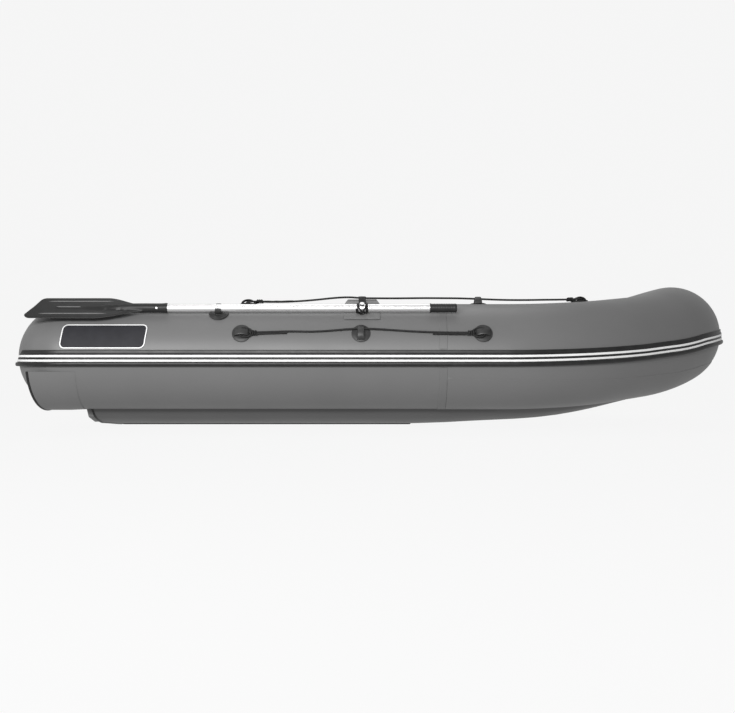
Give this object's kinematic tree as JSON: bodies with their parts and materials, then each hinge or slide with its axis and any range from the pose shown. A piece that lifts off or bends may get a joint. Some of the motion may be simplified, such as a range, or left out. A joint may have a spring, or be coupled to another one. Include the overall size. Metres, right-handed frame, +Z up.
{
  "type": "inflatable dinghy",
  "caption": "Inflatable dinghy with side and bow air chambers, rub strake, inflated floor, raked transom, sliding seats, lifelines and stowed oars on swinging pins.",
  "frame": {"origin": "centreplane, half way along the hull, at the bottom of the keel strip", "axes": "+X forward to the bow, +Y to port, +Z up"},
  "size_m": [2.9654, 1.606, 0.6082],
  "materials": {
    "hull_fabric": "satin",
    "deck_fabric": "satin",
    "stripe_rubber": "satin",
    "black_rubber": "matte",
    "rope": "matte",
    "plywood": "satin",
    "steel": "satin",
    "aluminium": "satin",
    "grey_moulding": "satin",
    "plate": "satin",
    "black_plastic": "matte"
  },
  "bodies": {
    "root": {"drain_bush": "black_plastic", "floor_bottom_skin": "hull_fabric", "floor_deck_skin": "deck_fabric", "floor_webs": "hull_fabric", "keel_strip": "black_rubber", "lifeline_outer_port": "rope", "lifeline_outer_starboard": "rope", "lifeline_top_port": "rope", "lifeline_top_starboard": "rope", "motor_pad_inner": "black_plastic", "motor_pad_outer": "black_plastic", "name_plates": "plate", "oar_clip_bases": "black_rubber", "oar_clip_horns_port": "black_rubber", "oar_clip_horns_starboard": "black_rubber", "oarlock_block_port": "grey_moulding", "oarlock_block_starboard": "grey_moulding", "oarlock_pin_port": "steel", "oarlock_pin_starboard": "steel", "rope_eyes_outer": "black_rubber", "rope_eyes_top": "black_rubber", "rub_strake": "black_rubber", "seam_tapes": "hull_fabric", "seat_rails": "black_plastic", "stern_skirts": "hull_fabric", "strake_stripe_lower": "stripe_rubber", "strake_stripe_upper": "stripe_rubber", "transom_board": "plywood", "tube_bow_nose": "hull_fabric", "tube_bow_port": "hull_fabric", "tube_bow_starboard": "hull_fabric", "tube_bulkheads": "hull_fabric", "tube_port": "hull_fabric", "tube_starboard": "hull_fabric", "valve_bodies": "black_plastic"},
    "oar_starboard": {"oar_shaft_starboard": "aluminium", "oar_grip_starboard": "black_plastic", "oar_blade_starboard": "black_plastic", "oar_lashing_starboard": "rope"},
    "oar_button_starboard": {"oar_button_starboard": "black_plastic"},
    "oar_port": {"oar_shaft_port": "aluminium", "oar_grip_port": "black_plastic", "oar_blade_port": "black_plastic", "oar_lashing_port": "rope"},
    "oar_button_port": {"oar_button_port": "black_plastic"},
    "seat_aft": {"seat_plank_aft": "plywood", "seat_clamps_aft": "black_plastic"},
    "seat_forward": {"seat_plank_forward": "plywood", "seat_clamps_forward": "black_plastic"},
    "drain_plug": {"drain_plug": "black_plastic"},
    "valve_cap_starboard": {"valve_cap_starboard": "black_plastic"},
    "valve_plunger_starboard": {"valve_plunger_starboard": "black_plastic"},
    "valve_cap_port": {"valve_cap_port": "black_plastic"},
    "valve_plunger_port": {"valve_plunger_port": "black_plastic"},
    "valve_cap_bow": {"valve_cap_bow": "black_plastic"},
    "valve_plunger_bow": {"valve_plunger_bow": "black_plastic"},
    "valve_cap_floor": {"valve_cap_floor": "black_plastic"},
    "valve_plunger_floor": {"valve_plunger_floor": "black_plastic"}
  },
  "joints": [
    {"name": "oar_swing_starboard", "type": "hinge", "parent": "root", "child": "oar_starboard", "pos_m": [-0.113, -0.7269, 0.48802], "axis": [0, -0.6157, 0.788], "range_deg": [0, 130], "deforming": ["oar_clip_horns_starboard"]},
    {"name": "oar_button_press_starboard", "type": "slide", "parent": "oar_starboard", "child": "oar_button_starboard", "axis": [0, 1, 0], "range_m": [0, 0.003], "stiffness_N_per_m": 500},
    {"name": "oar_swing_port", "type": "hinge", "parent": "root", "child": "oar_port", "pos_m": [-0.113, 0.7269, 0.48802], "axis": [0, -0.6157, -0.788], "range_deg": [0, 130], "deforming": ["oar_clip_horns_port"]},
    {"name": "oar_button_press_port", "type": "slide", "parent": "oar_port", "child": "oar_button_port", "axis": [0, -1, 0], "range_m": [0, 0.003], "stiffness_N_per_m": 500},
    {"name": "seat_slide_aft", "type": "slide", "parent": "root", "child": "seat_aft", "axis": [1, 0, 0], "range_m": [-0.15, 0.15]},
    {"name": "seat_slide_forward", "type": "slide", "parent": "root", "child": "seat_forward", "axis": [1, 0, 0], "range_m": [-0.15, 0.15]},
    {"name": "drain_plug_pull", "type": "slide", "parent": "root", "child": "drain_plug", "axis": [-0.9848, 0, -0.1736], "range_m": [0, 0.045]},
    {"name": "valve_cap_turn_starboard", "type": "hinge", "parent": "root", "child": "valve_cap_starboard", "pos_m": [-1, -0.39813, 0.405], "axis": [0, 0.866, 0.5], "range_deg": [0, 90]},
    {"name": "valve_press_starboard", "type": "slide", "parent": "root", "child": "valve_plunger_starboard", "axis": [0, -0.866, -0.5], "range_m": [0, 0.005], "stiffness_N_per_m": 400},
    {"name": "valve_cap_turn_port", "type": "hinge", "parent": "root", "child": "valve_cap_port", "pos_m": [-1, 0.39813, 0.405], "axis": [0, -0.866, 0.5], "range_deg": [0, 90]},
    {"name": "valve_press_port", "type": "slide", "parent": "root", "child": "valve_plunger_port", "axis": [0, 0.866, -0.5], "range_m": [0, 0.005], "stiffness_N_per_m": 400},
    {"name": "valve_cap_turn_bow", "type": "hinge", "parent": "root", "child": "valve_cap_bow", "pos_m": [0.4, -0.39813, 0.405], "axis": [0, 0.866, 0.5], "range_deg": [0, 90]},
    {"name": "valve_press_bow", "type": "slide", "parent": "root", "child": "valve_plunger_bow", "axis": [0, -0.866, -0.5], "range_m": [0, 0.005], "stiffness_N_per_m": 400},
    {"name": "valve_cap_turn_floor", "type": "hinge", "parent": "root", "child": "valve_cap_floor", "pos_m": [-1.14, 0.32, 0.114], "axis": [0, 0, 1], "range_deg": [0, 90]},
    {"name": "valve_press_floor", "type": "slide", "parent": "root", "child": "valve_plunger_floor", "axis": [0, 0, -1], "range_m": [0, 0.005], "stiffness_N_per_m": 400}
  ]
}
